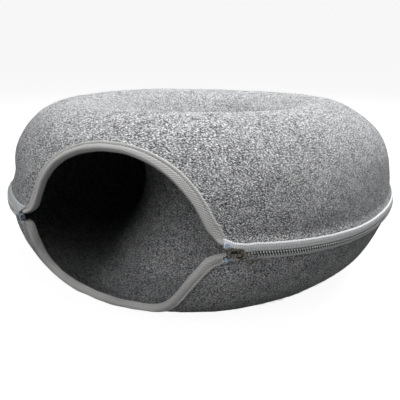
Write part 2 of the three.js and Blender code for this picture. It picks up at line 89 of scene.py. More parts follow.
lowerHalf = {
    "side": -1,
    "bow": 103.3,
    "fullness": 1.8,
    "ridgeFade": 5.0,
    "outline": [
        (-27.8, 5.5), (-26.2, 6.2), (-25.2, 10.2), (-24.4, 17), (-23.9, 27), (-23.1, 38),
        (-21.2, 50), (-16.4, 61.5), (-10.9, 68), (-6, 73), (-1.4, 79), (3.3, 80.5),
        (7.3, 75.5), (10.6, 65), (12.8, 53), (14.5, 41), (15.9, 31), (17.3, 22),
        (18.8, 14.5), (20.3, 10.1), (22.2, 7.2), (24.4, 5.5),
    ],
    "bindingFrom": -26.6,
    "bindingTo": 23.6,
    "margin": [(22.7, 9.6), (25, 8.6), (27, 8.4), (325, 8.4), (334.5, 9)],
    "swells": [
        (-42, 26, 20, 16, 1.7), (-24, 42, 18, 20, 4.5), (-6, 50, 18, 20, 3.8),
        (16, 56, 22, 22, 1.1), (70, 26, 26, 18, 1.4),
    ],
}


def bell(distance, span):
    return np.exp(-((distance / span) ** 2))


def plateau(distance, span):
    return np.exp(-((distance / span) ** 4))


def easing(value, start, end):
    part = np.clip((value - start) / (end - start), 0, 1)
    return part * part * (3 - 2 * part)


def mix(first, second, part):
    return first + (second - first) * part


def around(azimuth):
    return (azimuth + 180) % 360 - 180


def sectionAt(half, turn):                  # the tube's section: 0 at the rim, 180 at the hole
    across = np.cos(np.radians(turn))
    up = np.abs(np.sin(np.radians(turn)))
    outward = ring["rimRadius"] - ring["crestRadius"]
    inward = ring["crestRadius"] - ring["holeRadius"]
    reach = np.where(across > 0, outward, inward)
    power = 2 / half["fullness"]
    rho = ring["crestRadius"] + reach * np.sign(across) * np.abs(across) ** power
    height = half["bow"] * up ** power
    sideways = np.sign(across) * np.abs(across) ** (2 - power) / reach
    upward = up ** (2 - power) / half["bow"]
    length = np.hypot(sideways, upward)
    return rho, height, sideways / length, upward / length


def turnAt(half, height):
    return np.degrees(np.arcsin((height / half["bow"]) ** (half["fullness"] / 2)))


def rimSwell(azimuth):
    return sum(out * bell(around(azimuth - at), span) for at, span, out in rimSwells)


def zipWave(azimuth):
    return sum(up * bell(around(azimuth - at), span) for at, span, up in zipWaves)


def halfSwell(half, azimuth, turn):
    swelled = sum(
        out * bell(around(azimuth - at), span) * bell(turn - rises, rise)
        for at, rises, span, rise, out in half["swells"]
    )
    return swelled * (1 - bell(turn, ring["rimFade"]))


# Points on a half's felt: offset is the layer, lump the small unevenness on top of it
def feltPoint(half, azimuth, turn, offset, lump=0.0):
    rho, height, sideways, upward = sectionAt(half, turn)
    rim = ring["ridge"] * plateau(turn, half["ridgeFade"])
    rim = rim + rimSwell(azimuth) * bell(turn, ring["rimFade"])
    out = offset + lump + rim + halfSwell(half, azimuth, turn)
    radius = rho + sideways * out
    level = half["side"] * (height + upward * out)
    level = level + zipWave(azimuth) * plateau(turn, ring["waveFade"])
    if half["side"] < 0:
        level = np.maximum(level, -ring["zipLine"] - np.minimum(offset, 0))
    angle = np.radians(azimuth)
    parts = (
        radius * np.sin(angle),
        -radius * np.cos(angle) + ring["setback"],
        level + ring["zipLine"],
    )
    return np.stack(np.broadcast_arrays(*parts), axis=-1)


# Steps along a half's entrance outline by length, as azimuth and height
def outlineSteps(half, parts):
    points = np.array(half["outline"], float) * (perDegree, 1)
    padded = np.vstack([points[:1], points, points[-1:]])
    fine = np.linspace(0, 1, 60, endpoint=False)[:, None]
    line = []
    for i in range(len(points) - 1):
        before, start, end, after = padded[i:i + 4]
        leave = (end - before) / 2
        arrive = (after - start) / 2
        cubic = 2 * start - 2 * end + leave + arrive
        square = -3 * start + 3 * end - 2 * leave - arrive
        line.append(cubic * fine ** 3 + square * fine ** 2 + leave * fine + start)
    line = np.vstack(line + [points[-1:]])
    lengths = np.concatenate([[0], np.cumsum(np.hypot(*np.diff(line, axis=0).T))])
    wanted = parts * lengths[-1]
    azimuth = np.interp(wanted, lengths, line[:, 0]) / perDegree
    return azimuth, np.interp(wanted, lengths, line[:, 1])


def evened(values, reach=90):               # evens a row of values out over its neighbours
    weights = np.hanning(2 * reach + 1)
    padded = np.pad(values, reach, mode="edge")
    return np.convolve(padded, weights / weights.sum(), "valid")


# Moves from the entrance edge into the felt, along its surface, at each step
def edgeFrames(half, parts):
    azimuth, height = outlineSteps(half, parts)
    turn = turnAt(half, height)
    small = 0.05
    place = feltPoint(half, azimuth, turn, 0.0)
    along = np.gradient(place, axis=0)
    along /= np.linalg.norm(along, axis=1, keepdims=True)
    perAzimuth = feltPoint(half, azimuth + small, turn, 0.0)
    perAzimuth = (perAzimuth - feltPoint(half, azimuth - small, turn, 0.0)) / (2 * small)
    perTurn = feltPoint(half, azimuth, turn + small, 0.0)
    perTurn = (perTurn - feltPoint(half, azimuth, turn - small, 0.0)) / (2 * small)
    normal = np.cross(perAzimuth, perTurn)
    inward = np.cross(normal, along)
    inward /= np.linalg.norm(inward, axis=1, keepdims=True)
    inward *= np.sign((inward * perTurn).sum(1))[:, None]
    skew = (perAzimuth * perTurn).sum(1)
    a = (perAzimuth ** 2).sum(1)
    b = (perTurn ** 2).sum(1)
    share = a * b - skew ** 2
    onAzimuth = (inward * perAzimuth).sum(1)
    onTurn = (inward * perTurn).sum(1)
    length = np.concatenate([[0], np.cumsum(np.linalg.norm(np.diff(place, axis=0), axis=1))])
    return {
        "azimuth": azimuth,
        "turn": turn,
        "azimuthPerMm": evened((onAzimuth * b - onTurn * skew) / share),
        "turnPerMm": evened((onTurn * a - onAzimuth * skew) / share),
        "length": length,
    }


# Even, seeded unevenness with bumps about one wavelength apart
def softNoise(points, wavelength, seed, waves=22):
    source = np.random.default_rng(seed)
    directions = source.normal(size=(waves, 3))
    directions /= np.linalg.norm(directions, axis=1, keepdims=True)
    lengths = wavelength * source.uniform(0.75, 1.35, waves)
    phases = source.uniform(0, 2 * math.pi, waves)
    field = np.zeros(points.shape[:-1])
    for direction, length, phase in zip(directions, lengths, phases):
        field += np.cos(points @ direction * (2 * math.pi / length) + phase)
    return field * math.sqrt(2 / waves)


# Makes one piece from points in mm, on the root body and with its material slot
def addPiece(name, points, faces, materialOf, uvs=None, crease=None):
    mesh = bpy.data.meshes.new(name)
    mesh.from_pydata((np.asarray(points) * 0.001).tolist(), [], faces)
    if uvs is not None:
        layer = mesh.uv_layers.new(name="cloth")
        layer.data.foreach_set("uv", np.asarray(uvs, np.float32).ravel())
    mesh.shade_smooth()
    if crease:
        mesh.set_sharp_from_angle(angle=math.radians(crease))
    mesh.update()
    piece = bpy.data.objects.new(name, mesh)
    scene.collection.objects.link(piece)
    piece.data.materials.append(materialOf)
    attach(piece, "root")
    return piece


# A sweep through equal closed sections, as stations by section points, with UVs in mm
def sweepPiece(name, points, closed, materialOf, along=None, across=None, crease=None):
    stations, count = points.shape[:2]
    last = stations if closed else stations - 1
    i = np.arange(last)[:, None]
    j = np.arange(count)[None, :]
    nextI = (i + 1) % stations
    nextJ = (j + 1) % count
    quads = np.stack([i * count + j, i * count + nextJ, nextI * count + nextJ,
                      nextI * count + j], -1)
    corners = points.reshape(-1, 3)[quads.reshape(-1, 4)]
    volume = np.einsum("ij,ij->i", corners[:, 0],
                       np.cross(corners[:, 1], corners[:, 2])
                       + np.cross(corners[:, 2], corners[:, 3])).sum()
    if along is None:
        along = np.arange(stations + 1.0)
    if across is None:
        across = np.arange(count + 1.0)
    u = np.broadcast_to(along[:last, None], (last, count))
    uNext = np.broadcast_to(along[1:last + 1, None], (last, count))
    v = np.broadcast_to(across[None, :count], (last, count))
    vNext = np.broadcast_to(across[None, 1:count + 1], (last, count))
    uvs = np.stack([np.stack([u, v], -1), np.stack([u, vNext], -1),
                    np.stack([uNext, vNext], -1), np.stack([uNext, v], -1)], 2)
    quads = quads.reshape(-1, 4)
    uvs = uvs.reshape(-1, 4, 2)
    if volume < 0:
        quads = quads[:, ::-1]
        uvs = uvs[:, ::-1]
    faces = quads.tolist()
    uvs = uvs.reshape(-1, 2)
    if not closed:
        ends = [np.arange(count), np.arange(count) + (stations - 1) * count]
        ends = [ends[0][::-1], ends[1]] if volume > 0 else [ends[0], ends[1][::-1]]
        faces += [end.tolist() for end in ends]
        flatEnds = [np.stack([along[0] + 0 * end, across[end % count]], -1) for end in ends]
        uvs = np.vstack([uvs] + flatEnds)
    return addPiece(name, points.reshape(-1, 3), faces, materialOf, uvs, crease)


# Round threads: centre lines and the surface's normals, as threads by points, radius by point
def threadPiece(name, centre, normal, radius, sides, materialOf):
    tangent = np.gradient(centre, axis=1)
    tangent /= np.linalg.norm(tangent, axis=2, keepdims=True)
    beside = np.cross(tangent, normal)
    beside /= np.linalg.norm(beside, axis=2, keepdims=True)
    upward = np.cross(beside, tangent)
    turns = np.linspace(0, 2 * math.pi, sides, endpoint=False)
    circle = (beside[:, :, None] * np.cos(turns)[:, None]
              + upward[:, :, None] * np.sin(turns)[:, None])
    points = centre[:, :, None] + circle * np.asarray(radius)[..., None, None]
    threads, count = centre.shape[:2]
    base = np.arange(threads)[:, None, None] * (count * sides)
    i = np.arange(count - 1)[None, :, None] * sides
    j = np.arange(sides)[None, None, :]
    nextJ = (j + 1) % sides
    quads = np.stack([base + i + j, base + i + nextJ, base + i + sides + nextJ,
                      base + i + sides + j], -1).reshape(-1, 4)
    ends = []
    for start in range(threads):
        first = start * count * sides
        ends.append(list(range(first + sides - 1, first - 1, -1)))
        lastRing = first + (count - 1) * sides
        ends.append(list(range(lastRing, lastRing + sides)))
    return addPiece(name, points.reshape(-1, 3), quads.tolist() + ends, materialOf)


def addNode(tree, kind, values=None, **settings):
    made = tree.nodes.new(kind)
    for name, value in settings.items():
        setattr(made, name, value)
    for socket, value in (values or {}).items():
        if isinstance(value, bpy.types.NodeSocket):
            tree.links.new(value, made.inputs[socket])
        else:
            made.inputs[socket].default_value = value
    return made


def calculate(tree, operation, first, second=0.0, third=0.0):
    return addNode(tree, "ShaderNodeMath", {0: first, 1: second, 2: third},
                   operation=operation).outputs[0]


def stretch(tree, value, low, high, bottom=0.0, top=1.0):
    return addNode(tree, "ShaderNodeMapRange",
                   {"Value": value, "From Min": low, "From Max": high,
                    "To Min": bottom, "To Max": top}).outputs["Result"]


def blendColour(tree, part, first, second):
    made = tree.nodes.new("ShaderNodeMix")
    made.data_type = "RGBA"
    for index, value in ((0, part), (6, first), (7, second)):
        if isinstance(value, bpy.types.NodeSocket):
            tree.links.new(value, made.inputs[index])
        else:
            made.inputs[index].default_value = value
    return made.outputs[2]


def newGroup(name, inputs, outputs):
    group = bpy.data.node_groups.new(name, "ShaderNodeTree")
    for socket, kind, value in inputs:
        made = group.interface.new_socket(name=socket, in_out="INPUT", socket_type=kind)
        if value is not None:
            made.default_value = value
    for socket, kind in outputs:
        group.interface.new_socket(name=socket, in_out="OUTPUT", socket_type=kind)
    return group, addNode(group, "NodeGroupInput"), addNode(group, "NodeGroupOutput")


# Loose fibres in every direction: masks of light and dark ones, their relief and wide mottling
def fibreGroup():
    number = "NodeSocketFloat"
    group, given, result = newGroup(
        "fibres",
        [("Place", "NodeSocketVector", None), ("Fineness", number, 1000.0),
         ("Light share", number, 0.5), ("Dark share", number, 0.5)],
        [("Light", number), ("Dark", number), ("Height", number), ("Mottle", number)],
    )
    strokes = []
    for turnBy, squeeze in (((0.0, 0.0, 0.4), (0.3, 1, 1)), ((0.9, 0.3, 1.7), (0.38, 1, 1)),
                            ((1.2, -0.8, 2.6), (0.34, 1, 1)), ((2.1, 1.1, 0.9), (0.42, 1, 1))):
        turned = addNode(group, "ShaderNodeMapping",
                         {"Vector": given.outputs["Place"], "Rotation": turnBy,
                          "Scale": squeeze, "Location": (turnBy[0], turnBy[2], 0.3)})
        noise = addNode(group, "ShaderNodeTexNoise",
                        {"Vector": turned.outputs[0], "Scale": given.outputs["Fineness"],
                         "Detail": 1.5, "Roughness": 0.6})
        strokes.append(noise.outputs[0])
    brightest = calculate(group, "MAXIMUM", strokes[0], strokes[1])
    darkest = calculate(group, "MINIMUM", strokes[2], strokes[3])
    lightEdge = calculate(group, "MULTIPLY_ADD", given.outputs["Light share"], -0.2, 0.68)
    light = calculate(group, "SUBTRACT", brightest, lightEdge)
    darkEdge = calculate(group, "MULTIPLY_ADD", given.outputs["Dark share"], 0.2, 0.32)
    dark = calculate(group, "SUBTRACT", darkEdge, darkest)
    height = calculate(group, "ADD", calculate(group, "ADD", strokes[0], strokes[1]),
                       calculate(group, "ADD", strokes[2], strokes[3]))
    wide = addNode(group, "ShaderNodeTexNoise",
                   {"Vector": given.outputs["Place"], "Scale": 95.0, "Detail": 3.0,
                    "Roughness": 0.62})
    for socket, value in (("Light", stretch(group, light, 0.0, 0.05)),
                          ("Dark", stretch(group, dark, 0.0, 0.05)),
                          ("Height", height),
                          ("Mottle", stretch(group, wide.outputs[0], 0.37, 0.60))):
        group.links.new(value, result.inputs[socket])
    return group


# Ribs of a woven tape, from UVs in mm: the ribs' crests and the yarns across them
def ribGroup():
    number = "NodeSocketFloat"
    group, given, result = newGroup(
        "wovenRibs",
        [("Cloth", "NodeSocketVector", None), ("Pitch", number, 1.1), ("Slant", number, 0.8),
         ("Yarn", number, 0.55), ("Unevenness", number, 0.25)],
        [("Crest", number), ("Thread", number), ("Speck", number)],
    )
    parts = addNode(group, "ShaderNodeSeparateXYZ", {0: given.outputs["Cloth"]})
    drift = addNode(group, "ShaderNodeTexNoise",
                    {"Vector": given.outputs["Cloth"], "Scale": 0.5, "Detail": 2.0})
    shift = calculate(group, "MULTIPLY", drift.outputs[0], given.outputs["Unevenness"])
    slanted = calculate(group, "MULTIPLY_ADD", parts.outputs[1], given.outputs["Slant"],
                        parts.outputs[0])
    slanted = calculate(group, "ADD", slanted, shift)
    turns = calculate(group, "DIVIDE", slanted, given.outputs["Pitch"])
    wave = calculate(group, "COSINE", calculate(group, "MULTIPLY", turns, 2 * math.pi))
    acrossTurns = calculate(group, "DIVIDE", parts.outputs[1], given.outputs["Yarn"])
    offset = calculate(group, "MULTIPLY_ADD", turns, 0.5, acrossTurns)
    yarns = calculate(group, "COSINE", calculate(group, "MULTIPLY", offset, 2 * math.pi))
    specks = addNode(group, "ShaderNodeTexNoise",
                     {"Vector": given.outputs["Cloth"], "Scale": 1.6, "Detail": 3.0,
                      "Roughness": 0.7})
    for socket, value in (("Crest", stretch(group, wave, -1.0, 1.0)),
                          ("Thread", stretch(group, yarns, -1.0, 1.0)),
                          ("Speck", stretch(group, specks.outputs[0], 0.3, 0.7))):
        group.links.new(value, result.inputs[socket])
    return group


fibres = fibreGroup()
wovenRibs = ribGroup()


def newMaterial(name, roughness, values=None):
    made = bpy.data.materials.new(name)
    made.use_nodes = True
    tree = made.node_tree
    shader = tree.nodes["Principled BSDF"]
    shader.inputs["Roughness"].default_value = roughness
    for socket, value in (values or {}).items():
        shader.inputs[socket].default_value = value
    return made, tree, shader


def placeGroup(tree, group, values):
    placed = tree.nodes.new("ShaderNodeGroup")
    placed.node_tree = group
    for socket, value in values.items():
        if isinstance(value, bpy.types.NodeSocket):
            tree.links.new(value, placed.inputs[socket])
        else:
            placed.inputs[socket].default_value = value
    return placed


def addBump(tree, shader, height, distance, strength=1.0):
    bump = addNode(tree, "ShaderNodeBump",
                   {"Height": height, "Distance": distance, "Strength": strength})
    tree.links.new(bump.outputs[0], shader.inputs["Normal"])


feltFinish = {
    "middle": (0.36, 0.369, 0.378, 1),
    "shade": (0.115, 0.119, 0.126, 1),
    "pale": (0.95, 0.96, 0.965, 1),
    "deep": (0.02, 0.022, 0.026, 1),
    "fineness": 1500.0,
    "light": 0.56,
    "dark": 0.72,
    "relief": 0.0008,
}


def feltMaterial():
    made, tree, shader = newMaterial("greyMelangeFelt", 0.96, {"Specular IOR Level": 0.18})
    place = addNode(tree, "ShaderNodeTexCoord").outputs["Object"]
    fibre = placeGroup(tree, fibres, {
        "Place": place, "Fineness": feltFinish["fineness"],
        "Light share": feltFinish["light"], "Dark share": feltFinish["dark"]})
    ground = blendColour(tree, fibre.outputs["Mottle"], feltFinish["shade"],
                         feltFinish["middle"])
    dark = blendColour(tree, fibre.outputs["Dark"], ground, feltFinish["deep"])
    colour = blendColour(tree, fibre.outputs["Light"], dark, feltFinish["pale"])
    tree.links.new(colour, shader.inputs["Base Color"])
    addBump(tree, shader, fibre.outputs["Height"], feltFinish["relief"], 0.8)
    return made


# A ribbed cloth: colours from furrow to crest, painted shade in the furrows and painted
# highlight on the crests, with yarns and soiling
def ribbedMaterial(name, look, shadeBandTo=0.0):
    made, tree, shader = newMaterial(name, look["roughness"], {"Specular IOR Level": 0.25})
    cloth = addNode(tree, "ShaderNodeUVMap", uv_map="cloth").outputs[0]
    ribs = placeGroup(tree, wovenRibs, {
        "Cloth": cloth, "Pitch": look["pitch"], "Slant": look["slant"],
        "Yarn": look["yarn"], "Unevenness": look["unevenness"]})
    yarn = calculate(tree, "MULTIPLY_ADD", ribs.outputs["Thread"], look["threadShare"],
                     ribs.outputs["Crest"])
    # the ribs' relief picks the colour: painted shade in the furrows, painted highlight on the
    # crests
    lit = stretch(tree, yarn, 0.0, 1.0 + look["threadShare"])
    colour = blendColour(tree, lit, look["furrowShade"], look["crest"])
    worn = calculate(tree, "MULTIPLY", ribs.outputs["Speck"], look["speck"])
    colour = blendColour(tree, worn, colour, look["soil"])
    # painted shade: the face near the seam goes near-black, as the shade among the chain's
    # loops
    if shadeBandTo:
        across = addNode(tree, "ShaderNodeSeparateXYZ", {0: cloth}).outputs[1]
        under = stretch(tree, across, shadeBandTo, shadeBandTo - 0.5)
        colour = blendColour(tree, under, colour, look["chainShade"])
    tree.links.new(colour, shader.inputs["Base Color"])
    addBump(tree, shader, yarn, look["relief"], 0.9)
    return made


bindingFinish = {
    "roughness": 0.88,
    "pitch": 2.7,
    "slant": -1.9,
    "yarn": 0.8,
    "unevenness": 0.4,
    "threadShare": 0.45,
    # furrow and crest colours: painted shade and painted highlight of the ribs
    "furrowShade": (0.27, 0.267, 0.262, 1),
    "crest": (1.0, 0.99, 0.975, 1),
    "soil": (0.45, 0.445, 0.44, 1),
    "speck": 0.3,
    "relief": 0.00022,
}
tapeFinish = {
    "roughness": 0.82,
    "pitch": 1.5,
    "slant": 0.06,
    "yarn": 0.7,
    "unevenness": 0.3,
    "threadShare": 0.3,
    # furrow and crest colours: painted shade and painted highlight of the ribs
    "furrowShade": (0.44, 0.47, 0.49, 1),
    "crest": (1.0, 1.0, 1.0, 1),
    "soil": (0.45, 0.47, 0.48, 1),
    "speck": 0.28,
    "relief": 0.0002,
    # painted shade among the chain's loops on the lower tape
    "chainShade": (0.085, 0.09, 0.095, 1),
}
threadFinish = {"colour": (0.86, 0.86, 0.84, 1), "worn": (0.70, 0.72, 0.72, 1),
                "roughness": 0.6}
# the binding's stitches painted dark: painted shade of the stitch line in its groove
shadedStitchFinish = {"colour": (0.20, 0.20, 0.205, 1), "worn": (0.34, 0.34, 0.335, 1),
                    "roughness": 0.7}
fibreFinish = {"colour": (0.30, 0.305, 0.315, 1), "worn": (0.66, 0.67, 0.68, 1),
               "roughness": 0.9}
nylonFinish = {"colour": (0.62, 0.66, 0.68, 1), "worn": (0.42, 0.45, 0.47, 1),
               "roughness": 0.42}
metalFinish = {"colour": (0.085, 0.076, 0.064, 1), "worn": (0.85, 0.81, 0.74, 1),
               "roughness": 0.24}
plasticFinish = {"colour": (0.30, 0.35, 0.42, 1), "worn": (0.44, 0.50, 0.57, 1),
                 "roughness": 0.5}
filmFinish = {"colour": (0.33, 0.56, 0.86, 1), "worn": (0.62, 0.78, 0.93, 1),
              "roughness": 0.3}


# A smooth finish with slight clouding and rubbed places
def plainMaterial(name, look, metallic=0.0, scale=320.0, relief=0.00005):
    made, tree, shader = newMaterial(name, look["roughness"], {"Metallic": metallic})
    place = addNode(tree, "ShaderNodeTexCoord").outputs["Object"]
    cloud = addNode(tree, "ShaderNodeTexNoise",
                    {"Vector": place, "Scale": scale, "Detail": 4.0, "Roughness": 0.65})
    rubbed = stretch(tree, cloud.outputs[0], 0.42, 0.68)
    colour = blendColour(tree, rubbed, look["colour"], look["worn"])
    tree.links.new(colour, shader.inputs["Base Color"])
    rough = stretch(tree, cloud.outputs[0], 0.3, 0.7, look["roughness"] - 0.08,
                    look["roughness"] + 0.12)
    tree.links.new(rough, shader.inputs["Roughness"])
    addBump(tree, shader, cloud.outputs[0], relief, 0.5)
    return made


greyFelt = feltMaterial()
twillBinding = ribbedMaterial("twillBinding", bindingFinish)
ribbedTape = ribbedMaterial("ribbedZipTape", tapeFinish)
# the lower tape's copy, with painted shade along its chain
chainShadeTape = ribbedMaterial("ribbedZipTapePaintedShade", tapeFinish, 6.0)
sewingThread = plainMaterial("sewingThread", threadFinish, 0.0, 2600.0, 0.00012)
# binding thread with painted shade of the stitch line
shadedBindingThread = plainMaterial("bindingThreadPaintedShade", shadedStitchFinish, 0.0, 2600.0, 0.00012)
looseFibre = plainMaterial("looseFibre", fibreFinish, 0.0, 210.0, 0.00002)
nylonCoil = plainMaterial("nylonCoil", nylonFinish, 0.0, 700.0)
darkMetal = plainMaterial("darkPlatedMetal", metalFinish, 1.0, 900.0)
boxPlastic = plainMaterial("blueGreyPlastic", plasticFinish, 0.0, 900.0)
blueFilm = plainMaterial("lightBlueFilm", filmFinish, 0.0, 500.0)
print("felt bed: materials ready")

# The two felt halves
feltShape = {
    "entranceStations": 170,
    "ringStations": 300,
    "crowding": 0.45,
    "wallRows": 46,
    "crownRows": 40,
    "insideStep": 2,
    "wallSpread": 1.35,
    "edgeRound": 0.9,
    "mmPerTurn": 1.8,
    "cornerTurn": 0.1,
    "cornerDepths": (0.3, 1.1),
    "lumpsFromEntrance": (9.0, 22.0),
    "lumpsFromHole": (1.0, 6.0),
    "lumps": ((60, 0.28, 3), (19, 0.08, 5), (7, 0.05, 8)),    # wavelength, height, seed
}


def feltColumns(half):
    part = np.linspace(0, 1, feltShape["entranceStations"])
    part = part - feltShape["crowding"] * np.sin(2 * math.pi * part) / (2 * math.pi)
    azimuth, height = outlineSteps(half, part)
    back = np.linspace(half["outline"][-1][0], 360 + half["outline"][0][0],
                       feltShape["ringStations"] + 1)[1:-1]
    azimuth = np.concatenate([azimuth, back])
    return azimuth, np.concatenate([height, np.full(len(back), ring["rimEdge"])])


def feltPiece(name, half):
    azimuth, height = feltColumns(half)
    start = turnAt(half, height)[:, None]
    end = 180 - turnAt(half, ring["butt"])
    flat = ring["flatTurn"]
    roundTurn = feltShape["edgeRound"] / feltShape["mmPerTurn"]
    wall = np.linspace(0, 1, feltShape["wallRows"]) ** feltShape["wallSpread"]
    crown = np.linspace(0, 1, feltShape["crownRows"] + 1)[1:]
    first = start + roundTurn
    crownTurns = np.broadcast_to(mix(flat, end - roundTurn, crown), (len(start), len(crown)))
    outside = np.hstack([mix(first, flat, wall[None, :]), crownTurns])
    inside = outside[:, ::-feltShape["insideStep"]]
    if inside.shape[1] * feltShape["insideStep"] != outside.shape[1] + 1:
        inside = np.hstack([inside, outside[:, :1]])
    depth = ring["thickness"]
    corner = feltShape["cornerTurn"]
    holeEdge = np.array([end - corner, end, end, end - corner])
    holeEdge = np.broadcast_to(holeEdge, (len(start), len(holeEdge)))
    rimEdge = np.hstack([start + corner, start, start, start + corner])
    shallow, deep = feltShape["cornerDepths"]
    edgeOut = np.array([-shallow, -deep, -depth + deep, -depth + shallow])
    turn = np.hstack([outside, holeEdge, inside, rimEdge])
    offset = np.concatenate([np.zeros(outside.shape[1]), edgeOut,
                             np.full(inside.shape[1], -depth), edgeOut[::-1]])
    clear = (turn - start) * feltShape["mmPerTurn"]
    fade = easing(clear, *feltShape["lumpsFromEntrance"])
    fade = fade * easing(end - turn, *feltShape["lumpsFromHole"])
    flatPoints = feltPoint(half, azimuth[:, None], turn, np.zeros_like(turn))
    lump = sum(rise * softNoise(flatPoints, wave, seed + half["side"])
               for wave, rise, seed in feltShape["lumps"])
    points = feltPoint(half, azimuth[:, None], turn, offset[None, :], lump * fade)
    along = np.concatenate([azimuth, [azimuth[0] + 360]]) * perDegree
    middle = len(azimuth) // 2
    steps = np.linalg.norm(np.diff(points[middle], axis=0), axis=1)
    across = np.concatenate([[0], np.cumsum(steps), [steps.sum() + 1]])
    return sweepPiece(name, points, True, greyFelt, along, across)


looseFibres = {
    "count": 2600,
    "length": (3.0, 8.0),
    "stand": (0.25, 1.1),
    "radius": 0.055,
    "taper": (0.5, 1, 1, 0.9, 0.35),
    "curl": 1.1,
    "curlReach": 1.6,
    "rooted": (0.55, 1.0),
    "sunk": 0.1,
    "acrossSection": (-0.85, 0.97),     # cosine of the turn, from the hole to the rim
    "turns": (9, 168),
    "clearOfEntrance": 27,
    "aboveFloor": 1.5,
    "mmPerTurn": 1.75,
    "sides": 3,
    "seed": 71,
}


# Loose fibres that stand off the felt's outside, each rooted at both ends or one
def fibrePiece(name, half):
    source = np.random.default_rng(looseFibres["seed"] + half["side"])
    count = looseFibres["count"]
    azimuth = source.uniform(0, 360, count)
    turn = np.degrees(np.arccos(source.uniform(*looseFibres["acrossSection"], count)))
    clearOfEntrance = np.abs(around(azimuth)) > looseFibres["clearOfEntrance"]
    azimuth = azimuth[clearOfEntrance][:, None]
    turn = np.clip(turn[clearOfEntrance], *looseFibres["turns"])[:, None]
    count = len(azimuth)
    heading = source.uniform(0, 2 * math.pi, (count, 1))
    length = source.uniform(*looseFibres["length"], (count, 1))
    curl = source.uniform(-looseFibres["curl"], looseFibres["curl"], (count, 1))
    part = np.linspace(0, 1, len(looseFibres["taper"]))
    ahead = length * (part - 0.5)
    aside = curl * looseFibres["curlReach"] * np.sin(math.pi * part)
    acrossMm = ahead * np.cos(heading) - aside * np.sin(heading)
    upMm = ahead * np.sin(heading) + aside * np.cos(heading)
    rooted = np.sin(math.pi * part * source.uniform(*looseFibres["rooted"], (count, 1)))
    out = source.uniform(*looseFibres["stand"], (count, 1)) * rooted - looseFibres["sunk"]
    reach = sectionAt(half, turn)[0]
    place = (azimuth + np.degrees(acrossMm / reach), turn + upMm / looseFibres["mmPerTurn"])
    centre = feltPoint(half, place[0], place[1], out)
    above = feltPoint(half, place[0], place[1], out + 1)
    onFloor = centre[:, :, 2].min(axis=1) < looseFibres["aboveFloor"]
    centre = centre[~onFloor]
    above = above[~onFloor]
    radii = looseFibres["radius"] * np.array(looseFibres["taper"])
    radii = np.broadcast_to(radii, centre.shape[:2])
    return threadPiece(name, centre, above - centre, radii, looseFibres["sides"], looseFibre)


upperFelt = feltPiece("upperFelt", upperHalf)
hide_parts("upper_shell")
lowerFelt = feltPiece("lowerFelt", lowerHalf)
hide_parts("lower_shell")
fibrePiece("upperFibres", upperHalf)
fibrePiece("lowerFibres", lowerHalf)
print("felt bed: felt halves", len(upperFelt.data.polygons), len(lowerFelt.data.polygons))

# The entrance's bindings
bindingShape = {
    "thickness": 1.2,
    "reach": 6.3,
    "spread": (2.5, 16, 9),          # more reach, at this azimuth, over this span
    "grooveInset": 2.9,
    "grooveWidth": 0.75,
    "grooveDepth": 0.75,
    "backGroove": 0.8,               # the back's groove, as a share of the face's
    "pucker": 0.25,
    "ribPitch": 2.7,
    "ribSlant": -1.9,
    "ribHeight": 0.26,
    "slack": (0.16, 16, 31),         # height, wavelength, seed
    "step": 0.4,
    "edgeParts": 6000,
    "crease": 60,
    "stitch": 3.2,
    "stitchGap": 0.55,
    "threadRadius": 0.26,
    "threadStand": (0.42, 0.12),     # rise of a stitch's arch, and how deep its ends lie
    "threadSides": 6,
}


def bindingReachAt(half, azimuth):
    reach, at, span = bindingShape["spread"]
    widening = reach * bell(azimuth - at, span) if half["side"] > 0 else 0 * azimuth
    return bindingShape["reach"] + widening


# The folded section: inner faces by the felt, then the outer ones, as into and out
def bindingContour():
    face = seat + 0.05
    back = -ring["thickness"] - seat - 0.15
    thickness = bindingShape["thickness"]
    top = face + thickness
    bottom = back - thickness
    reach = bindingShape["reach"]
    inner = [(reach, face), (reach * 0.7, face), (reach * 0.35, face), (0.6, face),
             (-seat, face - 0.25), (-seat, -1.6), (-seat, -3.0), (-seat, back + 0.3),
             (0.6, back), (reach * 0.35, back), (reach * 0.7, back), (reach, back),
             (reach + 0.05, back - 0.55)]
    under = [(into, bottom) for into in np.linspace(reach - 0.45, 0.6, 11)]
    angles = np.linspace(-90, 90, 17)[1:-1]
    middle = (top + bottom) / 2
    high = (top - bottom) / 2
    roll = [(0.6 - 2.1 * math.cos(math.radians(a)) ** 0.8,
             middle + high * math.copysign(abs(math.sin(math.radians(a))) ** 0.8, a))
            for a in angles]
    over = [(into, top) for into in np.linspace(0.6, reach - 0.45, 17)]
    lip = [(reach + 0.05, top - 0.6)]
    contour = np.array(inner + under + roll + over + lip)
    firstOuter = len(inner) - 1
    mask = np.ones(len(contour))
    mask[:firstOuter] = 0
    mask[-1] = 0.3
    return contour, mask


